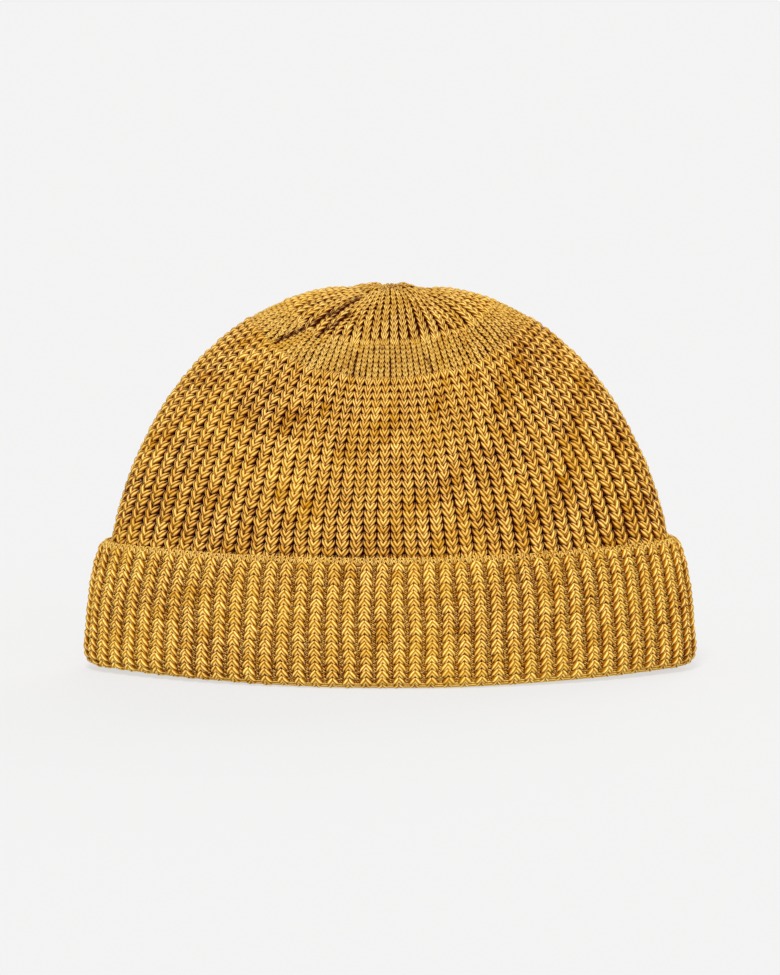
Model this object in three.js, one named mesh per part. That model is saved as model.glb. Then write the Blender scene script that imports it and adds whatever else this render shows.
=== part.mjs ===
import * as THREE from 'three';

// A chunky knitted watch cap with a turned-up cuff, standing on its rim with its hollow open below.
// Millimetres, +Z up, front towards -Y. The origin lies on the floor, under the middle of the cap.

// Knit
const RIBS = 84; // ribs round the cap, the same ones on crown and cuff
const CROWN_CROWDING = 0.12; // ribs stand closer at front and back by this share, wider at the ends
const CUFF_CROWDING = 0.05;
const RIB_RELIEF = 1.8; // from the bottom of a furrow to the back of a rib
const CROWN_WALL = 4.2; // one layer of knitting
const CUFF_WALL = 4.6; // the same layer, turned up and a little looser
const LAYER_GAP = 0.4; // clear space between the two layers

// Dome of the crown, whose outline is drawn round a point inside the cap
const DOME_CENTRE = 41; // height of that point
const DOME_HALF_DEPTH = 52;
const DOME_DEPTH_ROUNDING = 0.85; // below 1 the tip is rounder seen from the side than from the front
const DOME_OUTLINE = [
  { angle: 0, reach: 103.0 }, // angle down from the tip, and reach, both seen from the front
  { angle: 6, reach: 104.4 },
  { angle: 15, reach: 104.9 },
  { angle: 28, reach: 105.0 },
  { angle: 38, reach: 103.7 },
  { angle: 48, reach: 102.8 },
  { angle: 63, reach: 101.5 },
  { angle: 76, reach: 102.2 },
  { angle: 90, reach: 104.2 },
];
const DOME_RIBBED_ANGLES = [85, 76, 67, 58, 50, 42, 35, 29]; // rings with full ribs
const DOME_TIP_ANGLES = [24, 20, 16, 12, 8.5, 5.5, 2.8]; // rings above them, where ribs run together
const CROWN_PINCH = 0.7; // how far the plan's ends are drawn to a point: 1 is nearly an ellipse
const TIP_PINCH = 1;

// Drawn-in tip
const TIP_PUCKERS = 14;
const TIP_PUCKER_DEPTH = 1.1;
const TIP_PUCKER_ANGLE = 15; // the puckers fade out about this far from the tip

// Creases near the tip, each a groove from one point of the front view to another
const CREASES = [
  { face: -1, fromX: -10, fromZ: 143, toX: -42, toZ: 128, depth: 3.4, width: 4.2 },
  { face: -1, fromX: -14, fromZ: 137, toX: -27, toZ: 129, depth: 1.8, width: 3.2 },
  { face: -1, fromX: 14, fromZ: 142, toX: 32, toZ: 130, depth: 1.9, width: 3.6 },
  { face: 1, fromX: 12, fromZ: 142, toX: 43, toZ: 126, depth: 3.0, width: 4.4 },
  { face: 1, fromX: -15, fromZ: 141, toX: -36, toZ: 127, depth: 2.1, width: 3.8 },
];
const CREASE_FACE_BLEND = 6; // a crease fades over this depth where front and back meet

// Cuff, whose widths are those of its outer side, by height above the rim
const CUFF_HEIGHT = 48.8;
const CUFF_OUTLINE = [
  { height: 0, halfWidth: 115.2, halfDepth: 60.0 },
  { height: 7, halfWidth: 115.2, halfDepth: 60.0 },
  { height: 13, halfWidth: 114.6, halfDepth: 59.7 },
  { height: 22, halfWidth: 113.9, halfDepth: 59.4 },
  { height: 31, halfWidth: 112.9, halfDepth: 58.9 },
  { height: 40, halfWidth: 111.1, halfDepth: 58.0 },
  { height: 46, halfWidth: 109.2, halfDepth: 57.0 },
  { height: 52, halfWidth: 108.2, halfDepth: 56.4 },
];
const CUFF_PINCH = 0.65;
const CUFF_RIBBED_HEIGHTS = [46.6, 40, 31, 22, 13, 6.5];
const EDGE_ROUNDING = 1.4; // at the cuff's free edge
const HOOK_HEIGHT = 6.4; // how far the fold turns back up inside the cap
const LAYERS = CUFF_WALL + LAYER_GAP + CROWN_WALL; // both layers together
const FOLD = [
  { inset: 0.7, height: 3.6 }, // the folded rim, from the outer side to the inner one
  { inset: 2.0, height: 1.1 },
  { inset: 3.4, height: 0 },
  { inset: 6.4, height: 0 },
  { inset: 8.0, height: 1.3 },
  { inset: LAYERS, height: 3.8 },
];

// The rim stands on its front and back, and rises a little towards its ends
const RIM_FLAT = 0.2; // share of the half width that lies flat
const RIM_RISE = 1.8;
const RIM_RISE_AT_EDGE = 0.8;
const EDGE_SLANT = 0.6; // the cuff's free edge is this much higher on the right, lower on the left

const RIBBED_COLUMNS = 2 * RIBS; // a back and a furrow for each rib
const PLAIN_COLUMNS = RIBS;
const LINING_COLUMNS = RIBS / 2;

const YARN = { color: 0xc99a3c, roughness: 0.95, metalness: 0 };

const radians = (degrees) => (degrees * Math.PI) / 180;
const mix = (a, b, share) => a + (b - a) * share;
const clamp01 = (value) => Math.min(1, Math.max(0, value));

// Straight-line value of one column of a table, looked up by another
function lookUp(table, key, column, value) {
  let row = 0;
  while (row < table.length - 2 && value > table[row + 1][key]) row += 1;
  const [low, high] = [table[row], table[row + 1]];
  return mix(low[column], high[column], clamp01((value - low[key]) / (high[key] - low[key])));
}

// A plan oval of four arcs. The place runs from 0 to 1 counterclockwise from +X in equal lengths.
function ovalPoint({ halfWidth, halfDepth, pinch }, place, inset = 0) {
  const end = (pinch * halfDepth ** 2) / halfWidth;
  const side = ((halfWidth - end) ** 2 + halfDepth ** 2 - end ** 2) / (2 * (halfDepth - end));
  const turn = Math.atan2(side - halfDepth, halfWidth - end);
  const quarter = end * turn + side * (Math.PI / 2 - turn);

  const quarterPlace = (((place % 1) + 1) % 1) * 4;
  const index = Math.floor(quarterPlace);
  const part = quarterPlace - index;
  const length = (index % 2 === 0 ? part : 1 - part) * quarter;
  const onEnd = length < end * turn;
  const angle = onEnd ? length / end : turn + (length - end * turn) / side;
  const [nx, ny] = [Math.cos(angle), Math.sin(angle)];
  const x = onEnd ? halfWidth - end + end * nx : side * nx;
  const y = onEnd ? end * ny : side * ny - (side - halfDepth);

  const signX = index === 0 || index === 3 ? 1 : -1;
  const signY = index < 2 ? 1 : -1;
  return {
    x: signX * (x - inset * nx),
    y: signY * (y - inset * ny),
    nx: signX * nx,
    ny: signY * ny,
  };
}

// Where a column stands round the cap
function columnPlace(column, columns, crowding) {
  const even = column / columns;
  return even + (crowding / (4 * Math.PI)) * Math.sin(4 * Math.PI * even);
}

// Height of a rib at a column: its back stands out and its furrow lies back
function ribHeight(column, columns, strength) {
  if (columns !== RIBBED_COLUMNS) return 0;
  return (column % 2 === 0 ? 0.5 : -0.5) * RIB_RELIEF * strength;
}

// How deep the creases and puckers near the tip lie at a point
function tipDepth(x, y, z, angle, place) {
  let depth = 0;
  for (const crease of CREASES) {
    const [dx, dz] = [crease.toX - crease.fromX, crease.toZ - crease.fromZ];
    const along = clamp01(((x - crease.fromX) * dx + (z - crease.fromZ) * dz) / (dx ** 2 + dz ** 2));
    const away = Math.hypot(x - crease.fromX - along * dx, z - crease.fromZ - along * dz);
    const facing = 0.5 * (1 + Math.tanh((crease.face * y) / CREASE_FACE_BLEND));
    depth += crease.depth * facing * Math.exp(-((away / crease.width) ** 2));
  }
  const fade = Math.exp(-((angle / TIP_PUCKER_ANGLE) ** 2)) * clamp01(angle / 4);
  return depth + TIP_PUCKER_DEPTH * fade * (0.5 + 0.5 * Math.cos(2 * Math.PI * TIP_PUCKERS * place));
}

// One ring of the dome, a wall's depth below its outside
function domeRing(angle, columns, wall) {
  const reach = lookUp(DOME_OUTLINE, 'angle', 'reach', angle);
  const [down, out] = [Math.cos(radians(angle)), Math.sin(radians(angle))];
  const oval = {
    halfWidth: reach * out,
    halfDepth: DOME_HALF_DEPTH * out ** DOME_DEPTH_ROUNDING,
    pinch: mix(TIP_PINCH, CROWN_PINCH, clamp01(angle / 60)),
  };
  const height = DOME_CENTRE + reach * down;
  const strength = clamp01((84 - angle) / 6); // the ribs start above the cuff
  return Array.from({ length: columns }, (_, column) => {
    const place = columnPlace(column, columns, CROWN_CROWDING);
    const point = ovalPoint(oval, place);
    const depth = wall + tipDepth(point.x, point.y, height, angle, place);
    const offset = ribHeight(column, columns, strength) - depth;
    return [
      point.x + point.nx * out * offset,
      point.y + point.ny * out * offset,
      height + down * offset,
    ];
  });
}

// How far the rim and the cuff's edge rise at a point
function rise(x, height) {
  const ends = clamp01((Math.abs(x) / CUFF_OUTLINE[0].halfWidth - RIM_FLAT) / (1 - RIM_FLAT));
  const up = height / CUFF_HEIGHT;
  const slant = EDGE_SLANT * up ** 2 * (x / CUFF_OUTLINE[0].halfWidth);
  return mix(RIM_RISE, RIM_RISE_AT_EDGE, up) * ends ** 1.1 + slant;
}

// One ring of the two layers at the cuff, measured in from the cuff's outer side
function bandRing(height, inset, columns) {
  const oval = {
    halfWidth: lookUp(CUFF_OUTLINE, 'height', 'halfWidth', height),
    halfDepth: lookUp(CUFF_OUTLINE, 'height', 'halfDepth', height),
    pinch: CUFF_PINCH,
  };
  return Array.from({ length: columns }, (_, column) => {
    const backs = columns === RIBBED_COLUMNS ? RIB_RELIEF / 2 : 0; // the widths are those over the ribs' backs
    const offset = inset + backs - ribHeight(column, columns, 1);
    const point = ovalPoint(oval, columnPlace(column, columns, CUFF_CROWDING), offset);
    return [point.x, point.y, height + rise(point.x, height)];
  });
}

// Triangles between two rings, which may have different numbers of points
function zipRings(upper, lower) {
  const triangles = [];
  let [i, j] = [0, 0];
  while (i < upper.length || j < lower.length) {
    const a = upper[i % upper.length];
    const b = lower[j % lower.length];
    if (j === lower.length || (i < upper.length && (i + 1) / upper.length < (j + 1) / lower.length)) {
      triangles.push([a, b, upper[(i + 1) % upper.length]]);
      i += 1;
    } else {
      triangles.push([a, b, lower[(j + 1) % lower.length]]);
      j += 1;
    }
  }
  return triangles;
}

// A closed skin over rings: a ring of one point closes an end, otherwise the last ring meets the first
function knittedShell(name, rings) {
  const closedEnds = rings[0].length === 1;
  const positions = [];
  const indices = [];
  const first = [];
  for (const ring of rings) {
    first.push(positions.length / 3);
    for (const point of ring) positions.push(...point);
  }
  const numbered = rings.map((ring, r) => ring.map((_, i) => first[r] + i));
  const strips = closedEnds ? rings.length - 1 : rings.length;
  for (let r = 0; r < strips; r += 1) {
    for (const [a, b, c] of zipRings(numbered[r], numbered[(r + 1) % rings.length])) {
      if (a !== b && b !== c && c !== a) indices.push(a, b, c);
    }
  }
  const geometry = new THREE.BufferGeometry();
  geometry.setAttribute('position', new THREE.Float32BufferAttribute(positions, 3));
  geometry.setIndex(indices);
  geometry.computeVertexNormals();
  const mesh = new THREE.Mesh(geometry, new THREE.MeshStandardMaterial(YARN));
  mesh.name = name;
  return mesh;
}

// Crown: the dome outside, its lower part inside the cuff, and the same wall back up to the tip
const hiddenHeights = [46.5, 40, 31, 22, 13, HOOK_HEIGHT + LAYER_GAP];
const tip = (wall) => [[0, 0, DOME_CENTRE + DOME_OUTLINE[0].reach - wall]];
const inside = [...DOME_TIP_ANGLES].reverse().filter((_, i) => i % 2 === 1);

const crown = knittedShell('crown', [
  tip(0),
  ...[...DOME_TIP_ANGLES].reverse().map((angle) => domeRing(angle, PLAIN_COLUMNS, 0)),
  ...[...DOME_RIBBED_ANGLES].reverse().map((angle) => domeRing(angle, RIBBED_COLUMNS, 0)),
  ...hiddenHeights.map((height) => bandRing(height, CUFF_WALL + LAYER_GAP, PLAIN_COLUMNS)),
  ...hiddenHeights
    .filter((_, i) => i % 2 === 1)
    .reverse()
    .map((height) => bandRing(height, LAYERS, LINING_COLUMNS)),
  ...DOME_RIBBED_ANGLES.filter((_, i) => i % 2 === 1).map((angle) => domeRing(angle, LINING_COLUMNS, CROWN_WALL)),
  ...[...inside].reverse().map((angle) => domeRing(angle, LINING_COLUMNS, CROWN_WALL)),
  tip(CROWN_WALL),
]);

// Cuff: down its outer side, round the folded rim, up to meet the crown's lower end, and up again
const cuff = knittedShell('cuff', [
  bandRing(CUFF_HEIGHT, EDGE_ROUNDING, PLAIN_COLUMNS),
  ...CUFF_RIBBED_HEIGHTS.map((height) => bandRing(height, 0, RIBBED_COLUMNS)),
  ...FOLD.map(({ inset, height }) => bandRing(height, inset, PLAIN_COLUMNS)),
  bandRing(HOOK_HEIGHT, LAYERS, PLAIN_COLUMNS),
  bandRing(HOOK_HEIGHT, CUFF_WALL, PLAIN_COLUMNS),
  ...[13, 22, 31, 40].map((height) => bandRing(height, CUFF_WALL, PLAIN_COLUMNS)),
  bandRing(CUFF_HEIGHT - EDGE_ROUNDING, CUFF_WALL, PLAIN_COLUMNS),
  bandRing(CUFF_HEIGHT, CUFF_WALL - EDGE_ROUNDING, PLAIN_COLUMNS),
]);

const cap = new THREE.Group();
cap.name = 'watch_cap';
cap.add(crown, cuff);

export default cap;
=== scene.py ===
"""A knitted watch cap: every stitch of crown and cuff is a bent length of yarn laid on the cap's surface."""

import math

import bpy
import numpy as np
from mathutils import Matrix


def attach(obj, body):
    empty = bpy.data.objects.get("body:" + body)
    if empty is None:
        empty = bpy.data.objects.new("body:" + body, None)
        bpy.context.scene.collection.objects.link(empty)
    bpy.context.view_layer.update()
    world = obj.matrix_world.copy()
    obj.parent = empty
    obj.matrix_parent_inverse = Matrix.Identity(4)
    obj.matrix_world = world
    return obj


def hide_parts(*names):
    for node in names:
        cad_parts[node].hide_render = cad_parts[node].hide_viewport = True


bl_info = {
    "name": "Knitted watch cap",
    "version": (1, 0, 0),
    "blender": (4, 5, 0),
    "location": "View3D > Sidebar > Watch cap",
    "description": "Knits the crown and cuff of a watch cap and sets up a plain studio",
    "category": "Object",
}

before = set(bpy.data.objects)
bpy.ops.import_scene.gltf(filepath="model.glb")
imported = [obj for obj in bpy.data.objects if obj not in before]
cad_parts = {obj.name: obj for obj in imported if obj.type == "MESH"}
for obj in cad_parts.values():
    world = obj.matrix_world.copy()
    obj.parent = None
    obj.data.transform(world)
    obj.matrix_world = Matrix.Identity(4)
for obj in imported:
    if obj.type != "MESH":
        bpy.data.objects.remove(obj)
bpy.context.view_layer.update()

MM = 0.001  # the tables and the knitting are in millimetres, Blender is in metres
FLOOR_GAP = 0.00002  # metres, the least height of a stitch above the floor
BODY = "root"
TURNS = np.arange(672)[None, :] / 672  # the places round the cap, as shares of a turn, at which a sheet is drawn

# Dome of the crown, drawn round a point inside the cap, and its drawn-in tip
DOME_CENTRE = 41
DOME_HALF_DEPTH = 52
DOME_DEPTH_ROUNDING = 0.85
DOME_ANGLES = (0, 6, 15, 28, 38, 48, 63, 76, 90)
DOME_REACHES = (103.0, 104.4, 104.9, 105.0, 103.7, 102.8, 101.5, 102.2, 104.2)
CROWN_PINCH, TIP_PINCH = 0.7, 1
CROWN_WALL = 4.2
TIP_PUCKERS, TIP_PUCKER_DEPTH, TIP_PUCKER_ANGLE = 14, 1.1, 15
CREASES = (  # face, from x, from z, to x, to z, depth, width
    (-1, -10, 143, -42, 128, 3.4, 4.2),
    (-1, -14, 137, -27, 129, 1.8, 3.2),
    (-1, 14, 142, 32, 130, 1.9, 3.6),
    (1, 12, 142, 43, 126, 3.0, 4.4),
    (1, -15, 141, -36, 127, 2.1, 3.8),
)
CREASE_FACE_BLEND = 6
NOTCH_X, NOTCH_WIDTH, NOTCH_DEPTH, NOTCH_ANGLE = -1, 3.2, 1.5, 9  # the dip where the tip is drawn together
FURROWS = (  # face, points of the front view (x, z), width, strength
    (-1, ((-11.6, 140.2), (-27.4, 132.3), (-42, 125.2)), 1.2, 0.95),
    (-1, ((-15, 135), (-26.6, 127.8)), 1.0, 0.9),
    (-1, ((-19.9, 140.9), (-31.5, 137.9)), 0.9, 0.6),
    (-1, ((12.4, 122.6), (18, 110.6), (22.1, 95.2)), 0.5, 0.8),
    (-1, ((-12, 122.6), (-13.9, 112.8), (-18, 93.7)), 0.5, 0.8),
    (-1, ((0.4, 121.5), (0.4, 108.7)), 0.45, 0.7),
    (-1, ((-6, 126.9), (-6, 123.1)), 0.5, 0.9),
    (-1, ((-2.8, 126.2), (-2.8, 122.4)), 0.5, 0.9),
    (1, ((11, 140), (27, 132), (41, 124)), 1.0, 0.7),
    (1, ((-12, 139), (-26, 131), (-35, 126)), 0.9, 0.6),
    (1, ((-9, 123), (-14, 111), (-17, 96)), 0.5, 0.8),
    (1, ((6, 124), (9, 110), (12, 99)), 0.5, 0.7),
)
FURROWS_LOWEST = 90  # no furrow reaches down to this height
FURROW_SINK, FURROW_SHADE = 0.7, 1.3  # how far stitches lie deeper in a furrow, and how much darker painted shade makes them there

# Cuff, whose widths are those over the backs of its ribs
CUFF_HEIGHTS = (0, 7, 13, 22, 31, 40, 46, 52)
CUFF_HALF_WIDTHS = (115.2, 115.2, 114.6, 113.9, 112.9, 111.1, 109.2, 108.2)
CUFF_HALF_DEPTHS = (60.0, 60.0, 59.7, 59.4, 58.9, 58.0, 57.0, 56.4)
CUFF_TOP, CUFF_PINCH, CUFF_WALL, LAYER_GAP = 48.8, 0.65, 4.6, 0.4
RIM_FLAT, RIM_RISE, RIM_RISE_AT_EDGE, EDGE_SLANT = 0.2, 1.8, 0.8, 0.6

# How closely the columns of stitches stand at front and back, by angle down from the tip
CROWD_ANGLES = (0, 12, 35, 47, 64, 85)
CROWDING = (0, 0.14, 0.3, 0.28, 0.2, 0.12)
CUFF_CROWDING = 0.05

# The cuff's fabric, from inside its free edge, over it, down the outside and round the folded rim
CUFF_PATH = (  # inset from the ribs' backs, height
    (4.4, 38.0), (4.4, 44.0), (4.3, 46.8), (3.8, 48.0), (2.9, 48.5), (1.9, 48.2), (1.2, 47.2), (0.9, 45.4),
    (0.9, 40.0), (0.9, 31.0), (0.9, 22.0), (0.9, 13.0), (0.9, 7.5), (1.2, 4.6), (2.0, 2.4), (3.4, 1.3),
    (4.9, 1.1), (6.4, 1.4), (7.6, 2.6), (8.3, 4.4), (8.5, 6.6), (8.5, 10.0), (8.5, 13.0),
)

# Where the knitting changes, as lengths down the crown from the tip, and along the cuff from inside its free edge
TIP_START, TIP_END, WIDE_END, FINE_END, CROWN_GROUND_END = 2.0, 8.0, 38.0, 52.0, 128
FINE_ROW, WIDE_ROW, TIP_ROW = 1.8, 2.7, 2.4
BELOW_CUFF_TOP = 3.5  # how far the crown's stitches go on inside the cuff
CUFF_START, CUFF_END, BARS_START, BARS_END, CUFF_GROUND_END = 14.2, 69, 15.2, 66, 82
EDGE_FEET, EDGE_ROW = (7.0, 5.3, 3.6, 1.9), 1.8  # the rows on the cuff's free edge, back from its first outer row
FOLD_START, ABOVE_FOLD, FOLD, FOLD_END, FOLD_REACH = 57, 55.5, 60.8, 65, 2.6
LINING_END = 150
INSIDE_TOP, INSIDE_BOTTOM, INSIDE_EXTRA = 47.2, 34, 0.6  # the crown's stretch inside the cuff, and how far in it lies
LINING_BOTTOM, LINING_SHOULDER = 7.2, 46

# A knitter's unevenness: slow wandering and single strays, across in columns and along in millimetres
COLUMN_WANDER, COLUMN_STRAY, LENGTH_WANDER, LENGTH_STRAY = 0.045, 0.018, 0.16, 0.09
# BAR_SHADE_TONE sets the furrow bars' tone low, which dims their painted highlights and adds painted shade down in
# the furrows
BAR_COLUMN_STRAY, BAR_LENGTH_STRAY, BAR_SHADE_TONE, BAR_TONE_STRAY = 0.03, 0.15, -1.1, 0.6


def smooth_table(x, keys, values, reach):
    """Reads a table of straight lines with its corners rounded off over a reach on either side."""
    steps = np.linspace(-1, 1, 9)
    weights = 1 - steps**2 * 0.9
    parts = [np.interp(x + reach * step, keys, values) * weight for step, weight in zip(steps, weights)]
    return sum(parts) / weights.sum()


def oval(half_width, half_depth, pinch, place, inset=0.0):
    """Points and outward directions of a plan oval made of four arcs, at places 0 to 1 counterclockwise from +X."""
    end = pinch * half_depth**2 / half_width
    side = ((half_width - end) ** 2 + half_depth**2 - end**2) / (2 * (half_depth - end))
    turn = np.arctan2(side - half_depth, half_width - end)
    quarter = end * turn + side * (math.pi / 2 - turn)
    quarters = np.mod(place, 1) * 4
    index = np.floor(quarters)
    part = quarters - index
    length = np.where(index % 2 == 0, part, 1 - part) * quarter
    on_end = length < end * turn
    angle = np.where(on_end, length / end, turn + (length - end * turn) / side)
    nx, ny = np.cos(angle), np.sin(angle)
    x = np.where(on_end, half_width - end + end * nx, side * nx)
    y = np.where(on_end, end * ny, side * ny - (side - half_depth))
    sign_x = np.where((index == 0) | (index == 3), 1, -1)
    sign_y = np.where(index < 2, 1, -1)
    return sign_x * (x - inset * nx), sign_y * (y - inset * ny), sign_x * nx, sign_y * ny


def tip_depth(x, y, z, angle, place):
    """How deep the creases and puckers near the tip lie."""
    depth = 0
    for face, from_x, from_z, to_x, to_z, deep, width in CREASES:
        dx, dz = to_x - from_x, to_z - from_z
        along = np.clip(((x - from_x) * dx + (z - from_z) * dz) / (dx**2 + dz**2), 0, 1)
        away = np.hypot(x - from_x - along * dx, z - from_z - along * dz)
        depth = depth + deep * 0.5 * (1 + np.tanh(face * y / CREASE_FACE_BLEND)) * np.exp(-((away / width) ** 2))
    depth = depth + NOTCH_DEPTH * np.exp(-(((x - NOTCH_X) / NOTCH_WIDTH) ** 2) - (angle / NOTCH_ANGLE) ** 2)
    fade = np.exp(-((angle / TIP_PUCKER_ANGLE) ** 2)) * np.clip(angle / 4, 0, 1)
    return depth + TIP_PUCKER_DEPTH * fade * (0.5 + 0.5 * np.cos(2 * math.pi * TIP_PUCKERS * place))


def furrow_paths(grid):
    """The long furrows as points on the cap, found by following their front or back view over a sheet."""
    paths = []
    for face, line, width, strength in FURROWS:
        facing = grid[face * grid[..., 1] > 0]
        steps = np.linspace(0, len(line) - 1, 3 * len(line) - 2)
        views = [np.interp(steps, np.arange(len(line)), axis) for axis in np.array(line).T]
        nearest = [np.argmin((facing[:, 0] - x) ** 2 + (facing[:, 2] - z) ** 2) for x, z in zip(*views)]
        paths.append((facing[nearest], width, strength))
    return paths


def furrow_share(points, paths):
    """How much a point lies in one of the long furrows that run down from the tip, from 0 to 1."""
    share = np.zeros(points.shape[:-1])
    high = points[..., 2] > FURROWS_LOWEST
    near = points[high]
    most = np.zeros(len(near))
    for path, width, strength in paths:
        for start, end in zip(path[:-1], path[1:]):
            run = end - start
            along = np.clip((near - start) @ run / (run @ run + 1e-9), 0, 1)
            away = np.linalg.norm(near - start - along[:, None] * run, axis=1)
            most = np.maximum(most, strength * np.exp(-((away / width) ** 2)))
    share[high] = most
    return share


def dome(angle, place, wall=0.0):
    """Points of the crown's outside, or a wall's depth below it."""
    reach = smooth_table(angle, DOME_ANGLES, DOME_REACHES, 5)
    down, out = np.cos(np.radians(angle)), np.sin(np.radians(angle))
    pinch = TIP_PINCH + (CROWN_PINCH - TIP_PINCH) * np.clip(angle / 60, 0, 1)
    x, y, nx, ny = oval(reach * out, DOME_HALF_DEPTH * out**DOME_DEPTH_ROUNDING, pinch, place)
    height = DOME_CENTRE + reach * down
    depth = wall + tip_depth(x, y, height, angle, place)
    return np.stack([x - nx * out * depth, y - ny * out * depth, height - down * depth], -1)


def band(height, inset, place):
    """Points of the layers at the cuff, measured in from the backs of its ribs."""
    half_width = smooth_table(height, CUFF_HEIGHTS, CUFF_HALF_WIDTHS, 3)
    half_depth = smooth_table(height, CUFF_HEIGHTS, CUFF_HALF_DEPTHS, 3)
    x, y, _, _ = oval(half_width, half_depth, CUFF_PINCH, place, inset)
    ends = np.clip((np.abs(x) / CUFF_HALF_WIDTHS[0] - RIM_FLAT) / (1 - RIM_FLAT), 0, 1)
    up = height / CUFF_TOP
    rise = (RIM_RISE + (RIM_RISE_AT_EDGE - RIM_RISE) * up) * ends**1.1
    return np.stack([x, y, height + rise + EDGE_SLANT * up**2 * x / CUFF_HALF_WIDTHS[0]], -1)


def crowded(turn, crowding):
    """The place round the cap of a column, given as its share of a turn."""
    return turn + crowding / (4 * math.pi) * np.sin(4 * math.pi * turn)


def soft_noise(turn, length, seed, waves=7, across=9, along=26.0):
    """Slow wandering between about -1 and 1 over a sheet, closed round the cap."""
    random = np.random.default_rng(seed)
    total = 0
    for _ in range(waves):
        turns = random.integers(1, across + 1)
        total = total + np.sin(
            2 * math.pi * (turns * turn + random.uniform(0.2, 1) * length / along + random.uniform())
        )
    return total / math.sqrt(waves)


class Sheet:
    """A sheet of knitting: columns of stitches run along it, and it closes round the cap."""

    STEP = 0.7

    def __init__(self, points, furrowed=False):
        count = points.shape[1]
        steps = np.linalg.norm(np.diff(points, axis=0), axis=2)
        lengths = np.vstack([np.zeros((1, count)), np.cumsum(steps, axis=0)])
        marks = np.arange(0, lengths[-1].max(), self.STEP)
        self.points = np.empty((len(marks), count, 3))
        for column in range(count):
            for axis in range(3):
                self.points[:, column, axis] = np.interp(marks, lengths[:, column], points[:, column, axis])
        across = np.roll(self.points, -1, axis=1) - np.roll(self.points, 1, axis=1)
        along = np.gradient(self.points, axis=0)
        still = np.linalg.norm(along, axis=2) < 1e-9
        normal = np.cross(along, across)
        for row in np.nonzero(still.any(axis=1))[0]:
            if row:
                normal[row, still[row]] = normal[row - 1, still[row]]
        size = np.linalg.norm(normal, axis=2, keepdims=True)
        self.normals = normal / np.maximum(size, 1e-9)
        self.round = np.linalg.norm(across, axis=2) * count / 2
        self.furrows = furrow_paths(self.points) if furrowed else []

    def read(self, grid, turn, length):
        """Values of one of the sheet's grids between its points."""
        count = self.points.shape[1]
        across = np.mod(turn, 1) * count
        along = np.clip(length / self.STEP, 0, self.points.shape[0] - 1.001)
        i, j = along.astype(int), across.astype(int) % count
        k = (j + 1) % count
        a, b = along - i, across - np.floor(across)
        if grid.ndim == 3:
            a, b = a[..., None], b[..., None]
        return (grid[i, j] * (1 - b) + grid[i, k] * b) * (1 - a) + (grid[i + 1, j] * (1 - b) + grid[i + 1, k] * b) * a

    def at(self, turn, length, lift):
        """Points of the sheet, lifted off it."""
        normal = self.read(self.normals, turn, length)
        normal /= np.maximum(np.linalg.norm(normal, axis=-1, keepdims=True), 1e-9)
        return self.read(self.points, turn, length) + normal * np.asarray(lift)[..., None]

    def pitch(self, turn, length, columns):
        """How wide a column is, if so many go round the cap."""
        return self.read(self.round, turn, length) / columns

    def length_at_height(self, height):
        """For each place of the grid, the length at which the sheet comes down to a height."""
        return (self.points[..., 2] < height).argmax(axis=0) * self.STEP


def crown_sheet():
    """The crown's outside from the tip down, and on inside the cuff."""
    angles = np.concatenate([[0.15], np.linspace(0.8, 86, 190)])[:, None]
    places = crowded(TURNS, np.interp(angles, CROWD_ANGLES, CROWDING))
    heights = np.linspace(INSIDE_TOP, INSIDE_BOTTOM, 14)[:, None]
    hidden = band(heights, CUFF_WALL + LAYER_GAP + INSIDE_EXTRA, crowded(TURNS, CROWDING[-1]))
    return Sheet(np.concatenate([dome(angles, places), hidden]), furrowed=True)


def cuff_sheet():
    """The cuff's fabric along CUFF_PATH."""
    insets, heights = np.array(CUFF_PATH).T
    step = np.hypot(np.diff(insets), np.diff(heights))
    length = np.concatenate([[0], np.cumsum(step)])
    marks = np.arange(0, length[-1], 0.5)
    inset = smooth_table(marks, length, insets, 1.2)[:, None]
    height = smooth_table(marks, length, heights, 1.2)[:, None]
    return Sheet(band(height, inset, crowded(TURNS, CUFF_CROWDING)))


def lining_sheet():
    """The crown's inside, from the rim up."""
    heights = np.linspace(LINING_BOTTOM, LINING_SHOULDER, 50)[:, None]
    angles = np.linspace(85, 1.5, 120)[:, None]
    low = band(heights, CUFF_WALL + LAYER_GAP + CROWN_WALL, crowded(TURNS, CROWDING[-1]))
    places = crowded(TURNS, np.interp(angles, CROWD_ANGLES, CROWDING))
    return Sheet(np.concatenate([low, dome(angles, places, CROWN_WALL)]))


# A yarn's cross-section, across and how high, in half widths and thicknesses, and a plainer one for small stitches
SECTION_ACROSS = np.array((-1, -0.74, -0.42, 0, 0.42, 0.74, 1))
SECTION_HEIGHT = np.array((-0.6, 0.35, 0.85, 1, 0.85, 0.35, -0.6))
FINE_ACROSS = np.array((-1, -0.55, 0, 0.55, 1))
FINE_HEIGHT = np.array((-0.4, 0.8, 1, 0.8, -0.4))
SIDE_SHADE = 0.45  # painted shade: how much of an arm's thickness counts as depth, so that its sides are painted darker than its top
CELL_MARGIN, CELL_WIDTH = 0.06, 0.88  # of an arm's cell in the map for baking


def grid_faces(rows, columns):
    """The faces between the points of a grid."""
    grid = np.arange(rows * columns).reshape(rows, columns)
    return np.stack([grid[:-1, :-1], grid[:-1, 1:], grid[1:, 1:], grid[1:, :-1]], -1).reshape(-1, 4)


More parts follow.
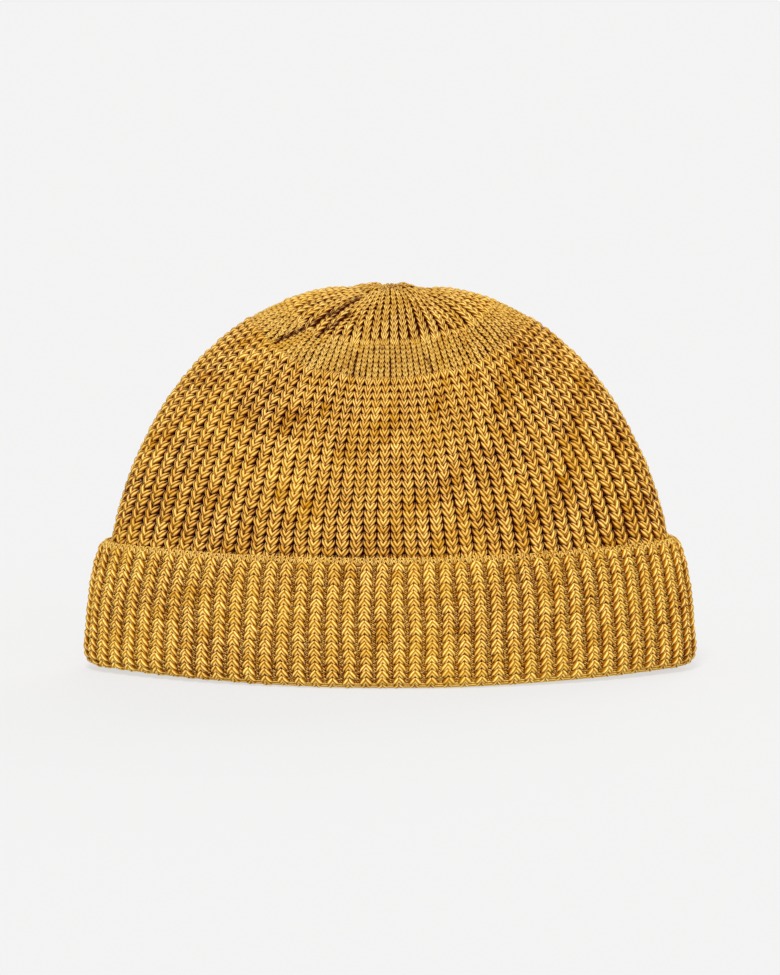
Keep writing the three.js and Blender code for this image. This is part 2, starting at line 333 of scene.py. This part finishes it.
def yarn_arms(sheet, columns, arms, shape, fine=False):
    """Lays one arm of yarn for each entry of arms, and returns their points, faces, maps and attributes.

    arms: arrays of what stitch_arms gives for each arm, and grow, the direction in which the stitches were made
    shape: one of the arm shapes below
    """
    section, rise = (FINE_ACROSS, FINE_HEIGHT) if fine else (SECTION_ACROSS, SECTION_HEIGHT)
    stations = np.asarray(shape["stations"])
    t, step = stations[None, :], 0.02
    pitch, row, side = (arms[key][:, None] for key in ("pitch", "row", "side"))
    x, y = pitch * shape["x"](t), row * shape["y"](t)
    dx = pitch * shape["x"](t + step) - pitch * shape["x"](t - step)
    dy = row * shape["y"](t + step) - row * shape["y"](t - step)
    size = np.hypot(dx, dy)
    full = min(shape["full_pitch"], pitch.max())
    half = shape["half"](t) * np.sqrt(np.minimum(pitch, full) * full) * arms["plump"][:, None]
    px = x[..., None] + (-dy / size * half)[..., None] * section
    py = y[..., None] + (dx / size * half)[..., None] * section
    lift = shape["lift"](t) + arms["lift"][:, None]
    height = (half * shape["thick"])[..., None] * rise
    px = px + arms["lean"][:, None, None] * py
    turn = (arms["column"][:, None, None] + (side[..., None] * px) / pitch[..., None]) / columns
    length = arms["length"][:, None, None] + arms["grow"] * py
    points = sheet.at(turn, length, lift[..., None] + height)
    furrow = furrow_share(points, sheet.furrows)
    points = points + sheet.read(sheet.normals, turn, length) * (-FURROW_SINK * furrow)[..., None]

    count, along, across = points.shape[:3]
    faces = grid_faces(along, across)[None] + (np.arange(count) * along * across)[:, None, None]
    flipped = (arms["side"] * arms["grow"]) > 0
    faces[flipped] = faces[flipped][..., ::-1]
    run = np.broadcast_to(t[..., None], points.shape[:3])
    spread = np.broadcast_to(section * arms["side"][:, None, None], points.shape[:3])
    # deep is painted shade: darker the lower a point lies below top, down an arm's sides, and in the long furrows
    deep = shape["top"] - lift[..., None] - SIDE_SHADE * height + FURROW_SHADE * furrow
    per_side = math.ceil(math.sqrt(count))
    cell = np.arange(count)
    bake_x = ((cell % per_side)[:, None, None] + CELL_MARGIN + CELL_WIDTH * (spread + 1) / 2) / per_side
    along_share = (stations - stations[0]) / (stations[-1] - stations[0])
    bake_y = ((cell // per_side)[:, None, None] + CELL_MARGIN + CELL_WIDTH * along_share[None, :, None]) / per_side
    bake_y = np.broadcast_to(bake_y, points.shape[:3])
    return {
        "points": points.reshape(-1, 3),
        "faces": faces.reshape(-1, 4),
        "yarn": np.stack([spread.ravel(), run.ravel()], -1),
        "bake": np.stack([bake_x.ravel(), bake_y.ravel()], -1),
        "tone": np.repeat(arms["tone"], along * across),
        "deep": np.clip(deep / shape["depth"], 0, 1).ravel(),
    }


def stitch_places(columns, feet):
    """The column and length of each stitch, one at every foot in every column."""
    return [grid.ravel() for grid in np.meshgrid(columns, feet)]


def stitch_arms(sheet, columns, column, length, row, grow, random, loose, seed):
    """The two arms of each stitch, with a knitter's small unevenness."""
    count = len(column)
    turn = column / columns
    across, along = soft_noise(turn, length, seed + 1), soft_noise(turn, length, seed + 2)
    column = column + COLUMN_WANDER * loose * across + random.normal(0, COLUMN_STRAY * loose, count)
    length = length + LENGTH_WANDER * loose * along + random.normal(0, LENGTH_STRAY * loose, count)
    pitch = sheet.pitch(column / columns, length, columns)
    both = {
        "column": column,
        "length": length,
        "pitch": pitch,
        "row": np.broadcast_to(row, count),
        "tone": 0.55 * soft_noise(turn, length, seed + 3, 9, 30, 14) + random.normal(0, 0.4, count),
    }
    arms = {key: np.concatenate([value, value]) for key, value in both.items()}
    arms["side"] = np.repeat([-1.0, 1.0], count)
    arms["plump"] = 1 + random.normal(0, 0.05 * loose, 2 * count)
    arms["lift"] = random.normal(0, 0.09 * loose, 2 * count)
    arms["lean"] = random.normal(0, 0.05 * loose, 2 * count)
    arms["tone"] = arms["tone"] + random.normal(0, 0.3, 2 * count)
    arms["grow"] = grow
    return arms


def single_strands(sheet, columns, column, length, row, grow, random, seed):
    """Strands that stand alone, such as those across a furrow."""
    count = len(column)
    turn = column / columns
    across, along = soft_noise(turn, length, seed + 1), soft_noise(turn, length, seed + 2)
    column = column + COLUMN_WANDER * across + random.normal(0, BAR_COLUMN_STRAY, count)
    length = length + LENGTH_WANDER * along + random.normal(0, BAR_LENGTH_STRAY, count)
    return {
        "column": column,
        "length": length,
        "pitch": sheet.pitch(column / columns, length, columns),
        "row": np.full(count, row),
        "side": np.ones(count),
        "plump": 1 + random.normal(0, 0.08, count),
        "lift": random.normal(0, 0.1, count),
        "lean": random.normal(0, 0.05, count),
        "tone": random.normal(BAR_SHADE_TONE, BAR_TONE_STRAY, count),
        "grow": grow,
    }


def knit_mesh(name, part, material):
    """A mesh from yarn arms or a ground, with its maps and attributes, riding on the cap's body."""
    points = part["points"] * MM
    points[:, 2] = np.maximum(points[:, 2], FLOOR_GAP)
    faces = part["faces"]
    mesh = bpy.data.meshes.new(name)
    mesh.vertices.add(len(points))
    mesh.vertices.foreach_set("co", points.astype(np.float32).ravel())
    corners = faces.ravel()
    mesh.loops.add(len(corners))
    mesh.loops.foreach_set("vertex_index", corners.astype(np.int32))
    mesh.polygons.add(len(faces))
    mesh.polygons.foreach_set("loop_start", (np.arange(len(faces)) * 4).astype(np.int32))
    mesh.update(calc_edges=True)
    mesh.shade_smooth()
    for layer, key in (("yarn", "yarn"), ("OFBake", "bake")):
        values = part[key][corners].astype(np.float32)
        mesh.uv_layers.new(name=layer).uv.foreach_set("vector", values.ravel())
    # deep carries the painted shade, tone the stitches' random tone
    for key in ("tone", "deep"):
        mesh.attributes.new(key, "FLOAT", "POINT").data.foreach_set("value", part[key].astype(np.float32))
    mesh.materials.append(material)
    piece = bpy.data.objects.new(name, mesh)
    bpy.context.scene.collection.objects.link(piece)
    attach(piece, BODY)
    return piece


def ground(sheet, turns, lengths, lift, deep, across=0.0):
    """A plain skin under the stitches, for knit_mesh, darkened with painted shade as far as deep says."""
    turn, length = np.meshgrid(turns, lengths, indexing="ij")
    points = sheet.at(turn, length, np.broadcast_to(lift, turn.shape))
    bake = np.stack([turn, np.broadcast_to(np.linspace(0, 1, len(lengths)), turn.shape)], -1)
    return {
        "points": points.reshape(-1, 3),
        "faces": grid_faces(*turn.shape),
        "yarn": np.stack([np.broadcast_to(across, turn.shape).ravel(), np.zeros(turn.size)], -1),
        "bake": bake.reshape(-1, 2) * 0.98 + 0.01,
        "tone": np.zeros(turn.size),
        "deep": np.broadcast_to(deep, turn.shape).ravel().astype(float),
    }


def outward(t, power):
    """Leaves the middle of a column quickly, then slowly."""
    return 1 - np.sign(1 - t) * np.abs(1 - t) ** power


def leaf(t, foot, head):
    """Width of an arm: full in the middle, narrower at its foot and head."""
    return np.clip(1 - foot * np.clip(0.42 - t, 0, 1) ** 2 - head * np.clip(t - 0.55, 0, 1) ** 2, 0.3, 1)


# Shapes of an arm. The stations are the places, from 0 at its foot to 1 at its head, at which it is drawn. For each
# of them x gives its middle in pitches out from the column's middle, y in rows up from its foot, lift its height off
# the sheet in millimetres, and half its half width in pitches, which stops growing at full_pitch. thick is its
# thickness for its width. top is the height above which an arm gets no painted shade, and depth how far below
# that its painted shade is darkest.
CROWN_ARM = {
    "stations": (-0.25, -0.05, 0.16, 0.37, 0.58, 0.8, 1.03),
    "x": lambda t: 0.065 + 0.32 * outward(t, 1.4),
    "y": lambda t: -0.08 + 1.02 * t,
    "lift": lambda t: 0.45 - 2.6 * np.clip(0.04 - t, 0, 1) - 2.9 * np.clip(t - 0.48, 0, 1) ** 1.25,
    "half": lambda t: 0.245 * leaf(t, 0.1, 2.3),
    "full_pitch": 5.4,
    "thick": 0.6,
    "top": 0.85,
    "depth": 2.05,
}
TIP_ARM = dict(
    CROWN_ARM,
    x=lambda t: 0.075 + 0.28 * outward(t, 1.4),
    y=lambda t: -0.15 + 1.3 * t,
    lift=lambda t: 0.25 - 3 * np.clip(0.02 - t, 0, 1) - 1.7 * np.clip(t - 0.35, 0, 1) ** 1.2,
    half=lambda t: 0.195 * leaf(t, 0.8, 1.4),
    full_pitch=4.2,
    thick=0.8,
    top=0.5,
    depth=1.35,
)
FINE_ARM = {
    "stations": (-0.18, 0.08, 0.42, 0.76, 1.06),
    "x": lambda t: 0.065 + 0.265 * outward(t, 1.35),
    "y": lambda t: -0.12 + 1.22 * t,
    "lift": lambda t: 0.12 - 3 * np.clip(0.03 - t, 0, 1) - 1.4 * np.clip(t - 0.45, 0, 1) ** 1.2,
    "half": lambda t: 0.225 * leaf(t, 0.5, 1.6),
    "full_pitch": 2.6,
    "thick": 0.72,
    "top": 0.3,
    "depth": 1.35,
}
EDGE_ARM = dict(
    FINE_ARM,
    x=lambda t: 0.07 + 0.33 * outward(t, 1.35),
    y=lambda t: -0.1 + 1.05 * t,
    half=lambda t: 0.235 * leaf(t, 0.5, 1.6),
    top=0.2,
    depth=3.0,
    thick=0.6,
)
CUFF_ARM = {
    "stations": (-0.22, -0.03, 0.17, 0.38, 0.6, 0.83, 1.05),
    "x": lambda t: 0.05 + 0.25 * outward(t, 1.4),
    "y": lambda t: -0.05 + 0.82 * t + 0.06 * t * t,
    "lift": lambda t: 0.35 - 2.8 * np.clip(0.03 - t, 0, 1) - 2.2 * np.clip(t - 0.48, 0, 1) ** 1.25,
    "half": lambda t: 0.192 * leaf(t, 0.1, 1.5),
    "full_pitch": 9,
    "thick": 0.52,
    "top": 0.68,
    "depth": 2.7,
}
FURROW_BAR = {  # a short strand across the bottom of a furrow
    "stations": (-0.2, 0.15, 0.5, 0.85, 1.2),
    "x": lambda t: 0.2 * (t - 0.5),
    "y": lambda t: 0.3 * (t - 0.5),
    "lift": lambda t: -0.4 - 2.5 * (t - 0.5) ** 2,
    "half": lambda t: 0.105 + 0 * t,
    "full_pitch": 9,
    "thick": 0.7,
    "top": 0.45,
    "depth": 2.7,
}


class Signal:
    """A socket that holds a number, so that shader maths reads as an expression."""

    def __init__(self, tree, socket):
        self.tree, self.socket = tree, socket

    def _math(self, operation, *values):
        node = self.tree.add("ShaderNodeMath", {"operation": operation}, dict(enumerate(values)))
        return Signal(self.tree, node.outputs[0])

    def __add__(self, other):
        return self._math("ADD", self, other)

    def __sub__(self, other):
        return self._math("SUBTRACT", self, other)

    def __rsub__(self, other):
        return self._math("SUBTRACT", other, self)

    def __mul__(self, other):
        return self._math("MULTIPLY", self, other)

    def __pow__(self, other):
        return self._math("POWER", self, other)

    __radd__ = __add__

    def wave(self):
        """1 at whole numbers and 0 halfway between them."""
        return self._math("COSINE", self * (2 * math.pi)) * 0.5 + 0.5

    def clamped(self):
        return self._math("MINIMUM", self._math("MAXIMUM", self, 0.0), 1.0)

    def size(self):
        return self._math("ABSOLUTE", self)


class Tree:
    """A material's or world's nodes."""

    def __init__(self, owner):
        owner.use_nodes = True
        self.nodes, self.links = owner.node_tree.nodes, owner.node_tree.links
        self.nodes.clear()

    def add(self, kind, settings=None, values=None):
        """Adds a node: its settings first, then the value or link of each named or numbered socket."""
        node = self.nodes.new(kind)
        for name, value in (settings or {}).items():
            if name == "stops":
                while len(node.color_ramp.elements) < len(value):
                    node.color_ramp.elements.new(0.5)
                for element, (position, colour) in zip(node.color_ramp.elements, value):
                    element.position, element.color = position, (*colour, 1)
            else:
                setattr(node, name, value)
        for name, value in (values or {}).items():
            if isinstance(value, Signal):
                value = value.socket
            if isinstance(value, bpy.types.NodeSocket):
                self.links.new(value, node.inputs[name])
            else:
                node.inputs[name].default_value = value
        return node

    def number(self, kind, output=0, settings=None, values=None):
        return Signal(self, self.add(kind, settings, values).outputs[output])

    def blend(self, factor, low, high):
        """A colour between two others."""
        node = self.add("ShaderNodeMix", {"data_type": "RGBA"}, {0: factor, 6: low, 7: high})
        return node.outputs[2]


PLIES_ACROSS, PLY_TWIST, PLY_STRAY = 1.15, 0.12, 0.2
FIBRE_SCALE, PATCH_SCALE = 1400.0, 45.0
SHEEN_TINT = (1.0, 0.86, 0.6, 1)


def yarn_material(name, look, bump=1.0, extra_shade=0.0):
    """Twisted wool yarn: painted highlights on the plies, darker and redder painted shade in the dips between them,
    and loose fibres; extra_shade paints a copy darker all over.
    """
    material = bpy.data.materials.new(name)
    tree = Tree(material)
    across_along = tree.add("ShaderNodeUVMap", {"uv_map": "yarn"})
    split = tree.add("ShaderNodeSeparateXYZ", None, {0: across_along.outputs[0]})
    across, along = Signal(tree, split.outputs[0]), Signal(tree, split.outputs[1])
    tone = tree.number("ShaderNodeAttribute", "Fac", {"attribute_name": "tone"})
    # deep is the painted shade that yarn_arms and ground laid on each point
    deep = tree.number("ShaderNodeAttribute", "Fac", {"attribute_name": "deep"})
    where = tree.add("ShaderNodeTexCoord").outputs["Object"]
    fibres = tree.number("ShaderNodeTexNoise", 0, None, {"Vector": where, "Scale": FIBRE_SCALE, "Detail": 3.0})
    patches = tree.number("ShaderNodeTexNoise", 0, None, {"Vector": where, "Scale": PATCH_SCALE, "Detail": 2.0})
    # plies: painted highlights along each ply, with painted shade between them
    plies = (across * PLIES_ACROSS + 0.5 + along * PLY_TWIST + (fibres - 0.5) * PLY_STRAY).wave()
    # edge: painted shade down a strand's sides
    edge = across.size() ** 5
    glint = plies**look.ply_sharpness * look.ply_contrast * (0.88 + tone * 0.28 - extra_shade * 2)
    # lit: how much painted highlight; dip: how much painted shade, from deep, between the plies and at the sides;
    # extra_shade shifts both darker; tone and patches are the yarn's own random unevenness
    lit = (glint * (1 - deep) * (1 - edge)).clamped()
    dip = deep**1.2 * 1.2 + (1 - plies) * 0.55 + edge * 0.15
    shade = (dip - tone * 0.06 - (patches - 0.5) * 0.4 + extra_shade).clamped()
    # From the painted lit colour through the yarn's own colour to painted shade and the holes' painted shade
    yarn_and_shade_colour = tree.add(
        "ShaderNodeValToRGB",
        {
            "stops": (
                (0.0, tuple(look.lit_colour)),
                (0.38, tuple(look.yarn_colour)),
                (0.72, tuple(look.shade_colour)),
                (1.0, tuple(look.hole_shade_colour)),
            )
        },
        {0: shade},
    )
    # the painted highlights, in glint colour, laid over it
    base = tree.blend(lit, yarn_and_shade_colour.outputs[0], (*look.glint_colour, 1))
    rise = plies * 0.6 + fibres * 0.5
    bumped = tree.add("ShaderNodeBump", None, {"Height": rise, "Strength": look.bump * bump, "Distance": 0.0004})
    shader = tree.add(
        "ShaderNodeBsdfPrincipled",
        None,
        {
            "Base Color": base,
            "Roughness": 0.78 + (fibres - 0.5) * 0.2,
            "Normal": bumped.outputs[0],
            "Sheen Weight": look.sheen,
            "Sheen Roughness": 0.5,
            "Sheen Tint": SHEEN_TINT,
            "Specular IOR Level": 0.02,
        },
    )
    tree.add("ShaderNodeOutputMaterial", None, {0: shader.outputs[0]})
    return material


class WatchCapKnit(bpy.types.PropertyGroup):
    """Sizes of the knitting."""

    ribs: bpy.props.IntProperty(
        name="Ribs", description="Columns of stitches round crown and cuff", default=84, min=20
    )
    row_front: bpy.props.FloatProperty(
        name="Row at front", description="Height of a crown row at front and back", default=0.00275, unit="LENGTH"
    )
    row_ends: bpy.props.FloatProperty(
        name="Row at ends", description="Height of a crown row at the cap's ends", default=0.00325, unit="LENGTH"
    )
    cuff_row: bpy.props.FloatProperty(
        name="Cuff row", description="Height of a row on the cuff", default=0.00266, unit="LENGTH"
    )
    fine_columns: bpy.props.IntProperty(
        name="Fine columns", description="Columns in the close-knit ring", default=112
    )
    tip_columns: bpy.props.IntProperty(
        name="Tip columns", description="Columns above the close-knit ring", default=56
    )
    unevenness: bpy.props.FloatProperty(
        name="Unevenness", description="How far stitches stray from their places", default=1.0, subtype="FACTOR"
    )


class WatchCapYarn(bpy.types.PropertyGroup):
    """Colour and surface of the yarn, with the colours of its painted light and shade."""

    # lit, shade, holes and glint are painted light: a strand's painted lit top, painted shade low between stitches,
    # painted shade in the holes behind them, and painted highlights along the plies; yarn is the yarn's own colour
    lit_colour: bpy.props.FloatVectorProperty(
        name="Lit", description="Colour on top of a strand", default=(0.63, 0.36, 0.02), subtype="COLOR"
    )
    yarn_colour: bpy.props.FloatVectorProperty(
        name="Yarn", description="Colour of the yarn's sides", default=(0.49, 0.246, 0.004), subtype="COLOR"
    )
    shade_colour: bpy.props.FloatVectorProperty(
        name="Shade", description="Colour low between stitches", default=(0.31, 0.082, 0.0005), subtype="COLOR"
    )
    hole_shade_colour: bpy.props.FloatVectorProperty(
        name="Holes", description="Colour behind the stitches", default=(0.06, 0.007, 0.0002), subtype="COLOR"
    )
    glint_colour: bpy.props.FloatVectorProperty(
        name="Glint", description="Colour of the plies' bright lines", default=(1.0, 0.77, 0.28), subtype="COLOR"
    )
    # the plies' bright lines are painted highlights
    ply_contrast: bpy.props.FloatProperty(
        name="Ply contrast", description="Strength of the bright lines", default=1.06
    )
    ply_sharpness: bpy.props.FloatProperty(name="Ply sharpness", description="How thin the lines are", default=3.2)
    sheen: bpy.props.FloatProperty(name="Sheen", description="Soft edge light on the fibres", default=0.02)
    bump: bpy.props.FloatProperty(name="Bump", description="Strength of plies and fibres", default=0.6)


class WatchCapStudio(bpy.types.PropertyGroup):
    """Camera, lights and floor."""

    elevation: bpy.props.FloatProperty(
        name="Elevation", description="Camera above the horizon", default=math.radians(6.7), subtype="ANGLE"
    )
    distance: bpy.props.FloatProperty(name="Distance", description="Camera to cap", default=3.5, unit="LENGTH")
    aim: bpy.props.FloatProperty(
        name="Aim", description="Height that the camera looks at", default=0.0684, unit="LENGTH"
    )
    lens: bpy.props.FloatProperty(name="Lens", description="Focal length in millimetres", default=344.9)
    paper: bpy.props.FloatVectorProperty(
        name="Paper", description="Colour of floor and background", default=(0.913, 0.913, 0.913), subtype="COLOR"
    )
    ambient: bpy.props.FloatProperty(name="Ambient", description="Light from all round", default=0.5)
    key: bpy.props.FloatProperty(name="Key", description="Strength of the main light", default=2.6)
    fill: bpy.props.FloatProperty(name="Fill", description="Strength of the second light", default=0.6)
    back: bpy.props.FloatProperty(name="Back", description="Strength of the light from behind", default=1.4)


def crown_row(turn, settings):
    """Height of a crown row at a place round the cap: lowest at front and back, highest at the ends."""
    low, high = settings.row_front / MM, settings.row_ends / MM
    return 0.5 * (low + high) + 0.5 * (high - low) * math.cos(4 * math.pi * turn)


class WATCHCAP_OT_crown(bpy.types.Operator):
    """Knits the crown below the close-knit ring"""

    bl_idname = "watchcap.crown"
    bl_label = "Crown"

    def execute(self, context):
        settings = context.scene.watchcap_knit
        sheet = crown_sheet()
        ribs = settings.ribs
        ends = sheet.length_at_height(CUFF_TOP - BELOW_CUFF_TOP)
        # the crown's copy of the yarn gets the most extra painted shade
        material = yarn_material("crown_yarn", context.scene.watchcap_yarn, extra_shade=0.135)
        for part in range(4):
            stitches = []
            for column in np.arange(part * ribs // 4, (part + 1) * ribs // 4) + 0.5:
                row = crown_row(column / ribs, settings)
                last = ends[int(column / ribs * TURNS.size)]
                stitches += [(column, foot, row) for foot in np.arange(FINE_END + row * 1.3, last, row)]
            column, length, row = (np.array(values) for values in zip(*stitches))
            random = np.random.default_rng(20 + part)
            arms = stitch_arms(sheet, ribs, column, length, row, -1, random, settings.unevenness, 5)
            knit_mesh(f"crown_knit_{part + 1}", yarn_arms(sheet, ribs, arms, CROWN_ARM), material)
        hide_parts("crown")
        return {"FINISHED"}


class WATCHCAP_OT_tip(bpy.types.Operator):
    """Knits the close-knit ring and the drawn-in tip above it"""

    bl_idname = "watchcap.tip"
    bl_label = "Tip"

    def execute(self, context):
        settings = context.scene.watchcap_knit
        sheet = crown_sheet()
        # the tip's copy of the yarn gets less extra painted shade
        material = yarn_material("tip_yarn", context.scene.watchcap_yarn, bump=0.9, extra_shade=0.07)
        zones = (  # name, columns, first and last length, row, arm, whether its yarn is drawn more plainly
            ("fine_knit", settings.fine_columns, WIDE_END, FINE_END + 2.4, FINE_ROW, FINE_ARM, True),
            ("wide_knit", settings.tip_columns, TIP_END, WIDE_END + 2.0, WIDE_ROW, TIP_ARM, False),
            ("tip_knit", settings.tip_columns // 2, TIP_START, TIP_END + 2.0, TIP_ROW, TIP_ARM, False),
        )
        for index, (name, columns, first, last, row, arm, fine) in enumerate(zones):
            column, length = stitch_places(np.arange(columns) + 0.5, np.arange(last, first + row, -row))
            random = np.random.default_rng(60 + index)
            arms = stitch_arms(sheet, columns, column, length, row, -1, random, settings.unevenness, 5)
            knit_mesh(name, yarn_arms(sheet, columns, arms, arm, fine), material)
        return {"FINISHED"}


class WATCHCAP_OT_cuff(bpy.types.Operator):
    """Knits the turned-up cuff, whose stitches stand upside down"""

    bl_idname = "watchcap.cuff"
    bl_label = "Cuff"

    def execute(self, context):
        settings = context.scene.watchcap_knit
        sheet = cuff_sheet()
        ribs = settings.ribs
        # the cuff's copy of the yarn gets the least extra painted shade
        material = yarn_material("cuff_yarn", context.scene.watchcap_yarn, extra_shade=0.055)
        row = settings.cuff_row / MM
        feet = np.arange(CUFF_START, CUFF_END, row)
        for part in range(2):
            columns = np.arange(part * ribs // 2, (part + 1) * ribs // 2) + 0.5
            column, length = stitch_places(columns, feet)
            random = np.random.default_rng(30 + part)
            arms = stitch_arms(sheet, ribs, column, length, row, 1, random, settings.unevenness, 11)
            knit_mesh(f"cuff_knit_{part + 1}", yarn_arms(sheet, ribs, arms, CUFF_ARM), material)
        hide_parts("cuff")

        column, length = stitch_places(np.arange(ribs) + 0.0, np.arange(BARS_START, BARS_END, row / 2))
        bars = single_strands(sheet, ribs, column, length, row, 1, np.random.default_rng(40), 11)
        knit_mesh("cuff_furrows", yarn_arms(sheet, ribs, bars, FURROW_BAR, True), material)

        column, length = stitch_places(np.arange(2 * ribs) + 0.5, CUFF_START - np.array(EDGE_FEET))
        random = np.random.default_rng(50)
        arms = stitch_arms(sheet, 2 * ribs, column, length, EDGE_ROW, 1, random, settings.unevenness, 13)
        # the edge's stitches are drawn lighter, with stronger painted highlights and less painted shade
        arms["tone"] += 0.6
        knit_mesh("cuff_edge", yarn_arms(sheet, 2 * ribs, arms, EDGE_ARM, True), material)
        return {"FINISHED"}


class WATCHCAP_OT_ground(bpy.types.Operator):
    """Lays skins behind the stitches of crown and cuff, and the cap's inside, darkened with painted shade"""

    bl_idname = "watchcap.ground"
    bl_label = "Ground and lining"

    def execute(self, context):
        look = context.scene.watchcap_yarn
        ribs = context.scene.watchcap_knit.ribs
        material = yarn_material("ground_yarn", look, bump=0.4)
        turns = np.linspace(0, 1, ribs * 3 + 1)
        lengths = np.arange(0.2, CROWN_GROUND_END, 2.4)
        lift = -1.5 + np.clip(1 - lengths / 4, 0, 1)
        # The crown's ground is a dark sheet of painted shade showing between the stitches, darker down from the tip
        # to nearly the holes' painted shade
        deep = np.clip(0.15 + lengths / 10, 0, 0.97)
        knit_mesh("crown_shade_ground", ground(crown_sheet(), turns, lengths, lift, deep), material)

        spans = ((0, FOLD_START, 1.5), (FOLD_START, FOLD_END, 0.8), (FOLD_END, CUFF_GROUND_END, 1.7))
        lengths = np.concatenate([np.arange(*span) for span in spans])
        above, fold = (np.exp(-(((lengths - place) / FOLD_REACH) ** 2)) for place in (ABOVE_FOLD, FOLD))
        strands = 0.43 * (-1.0) ** np.arange(len(lengths))
        # deep paints shade just above the fold and less on the fold itself; the strands are rows across the furrows
        part = ground(cuff_sheet(), turns, lengths, -0.85 + 1.75 * fold, 0.2 + 0.25 * above - 0.14 * fold, strands)
        knit_mesh("cuff_ground", part, material)

        turns = np.linspace(0, 1, ribs * 4 + 1)
        lengths = np.arange(0, LINING_END, 3.0)
        ribbing = np.cos(2 * math.pi * turns * ribs)[:, None] * np.ones(len(lengths))
        # deep paints shade in the troughs between the lining's ribs
        part = ground(lining_sheet(), turns, lengths, 0.5 * ribbing, 0.2 - 0.15 * ribbing, 0.2 + 0.2 * ribbing)
        knit_mesh("lining", part, material)
        return {"FINISHED"}


FLOOR_REACH, FLOOR_GREY, FLOOR_GLOW = 60.0, (0.2, 0.2, 0.2, 1), 0.695  # its glow keeps the cap's shadow faint
LAMP_TINT = (1, 0.985, 0.96, 1)


class WATCHCAP_OT_studio(bpy.types.Operator):
    """Sets up floor, soft light and camera"""

    bl_idname = "watchcap.studio"
    bl_label = "Studio"

    def execute(self, context):
        studio = context.scene.watchcap_studio
        scene = context.scene
        scene.view_settings.view_transform = "Standard"
        scene.view_settings.look = "None"

        mesh = bpy.data.meshes.new("floor")
        corners = [(x * FLOOR_REACH, y * FLOOR_REACH, 0) for x, y in ((-1, -1), (1, -1), (1, 1), (-1, 1))]
        mesh.from_pydata(corners, [], [(0, 1, 2, 3)])
        floor = bpy.data.objects.new("floor", mesh)
        scene.collection.objects.link(floor)
        material = bpy.data.materials.new("paper")
        tree = Tree(material)
        shader = tree.add(
            "ShaderNodeBsdfPrincipled",
            None,
            {
                "Base Color": FLOOR_GREY,
                "Roughness": 1.0,
                "Specular IOR Level": 0.0,
                "Emission Color": (*studio.paper, 1),
                "Emission Strength": FLOOR_GLOW,
            },
        )
        tree.add("ShaderNodeOutputMaterial", None, {0: shader.outputs[0]})
        mesh.materials.append(material)

        world = bpy.data.worlds.new("studio")
        scene.world = world
        tree = Tree(world)
        seen = tree.number("ShaderNodeLightPath", "Is Camera Ray")
        light = tree.add("ShaderNodeBackground", None, {0: LAMP_TINT, 1: studio.ambient})
        paper = tree.add("ShaderNodeBackground", None, {0: (*studio.paper, 1), 1: 1.0})
        mixed = tree.add("ShaderNodeMixShader", None, {0: seen, 1: light.outputs[0], 2: paper.outputs[0]})
        tree.add("ShaderNodeOutputWorld", None, {0: mixed.outputs[0]})

        for name, strength, azimuth, height, softness in (  # angles in degrees
            ("key", studio.key, -7, 44, 16),
            ("fill", studio.fill, 24, 16, 50),
            ("back", studio.back, 160, 28, 50),
        ):
            lamp = bpy.data.lights.new(name, "SUN")
            lamp.energy, lamp.angle = strength, math.radians(softness)
            lamp_object = bpy.data.objects.new(name, lamp)
            turn, up = math.radians(azimuth), math.radians(height)
            lamp_object.rotation_euler = (math.pi / 2 - up, 0, turn)
            scene.collection.objects.link(lamp_object)

        camera = bpy.data.cameras.new("camera")
        camera.lens, camera.clip_end = studio.lens, 100
        camera_object = bpy.data.objects.new("camera", camera)
        up, away = studio.elevation, studio.distance
        camera_object.location = (0, -away * math.cos(up), studio.aim + away * math.sin(up))
        camera_object.rotation_euler = (math.pi / 2 - up, 0, 0)
        scene.collection.objects.link(camera_object)
        scene.camera = camera_object
        return {"FINISHED"}


class WATCHCAP_PT_panel(bpy.types.Panel):
    """Lists the cap's pieces and the studio"""

    bl_label = "Watch cap"
    bl_idname = "WATCHCAP_PT_panel"
    bl_space_type = "VIEW_3D"
    bl_region_type = "UI"
    bl_category = "Watch cap"

    def draw(self, context):
        for group in (context.scene.watchcap_knit, context.scene.watchcap_yarn, context.scene.watchcap_studio):
            box = self.layout.box()
            for name in group.__annotations__:
                box.prop(group, name)
        for operator in OPERATORS:
            self.layout.operator(operator.bl_idname)


OPERATORS = (WATCHCAP_OT_crown, WATCHCAP_OT_tip, WATCHCAP_OT_cuff, WATCHCAP_OT_ground, WATCHCAP_OT_studio)
GROUPS = (("watchcap_knit", WatchCapKnit), ("watchcap_yarn", WatchCapYarn), ("watchcap_studio", WatchCapStudio))


def register():
    for name, group in GROUPS:
        bpy.utils.register_class(group)
        setattr(bpy.types.Scene, name, bpy.props.PointerProperty(type=group))
    for operator in OPERATORS:
        bpy.utils.register_class(operator)
    bpy.utils.register_class(WATCHCAP_PT_panel)


def unregister():
    bpy.utils.unregister_class(WATCHCAP_PT_panel)
    for operator in reversed(OPERATORS):
        bpy.utils.unregister_class(operator)
    for name, group in reversed(GROUPS):
        delattr(bpy.types.Scene, name)
        bpy.utils.unregister_class(group)


def main():
    """Knits the cap and sets up the studio."""
    register()
    bpy.ops.watchcap.crown()
    bpy.ops.watchcap.tip()
    bpy.ops.watchcap.cuff()
    bpy.ops.watchcap.ground()
    bpy.ops.watchcap.studio()


if __name__ == "__main__":
    main()
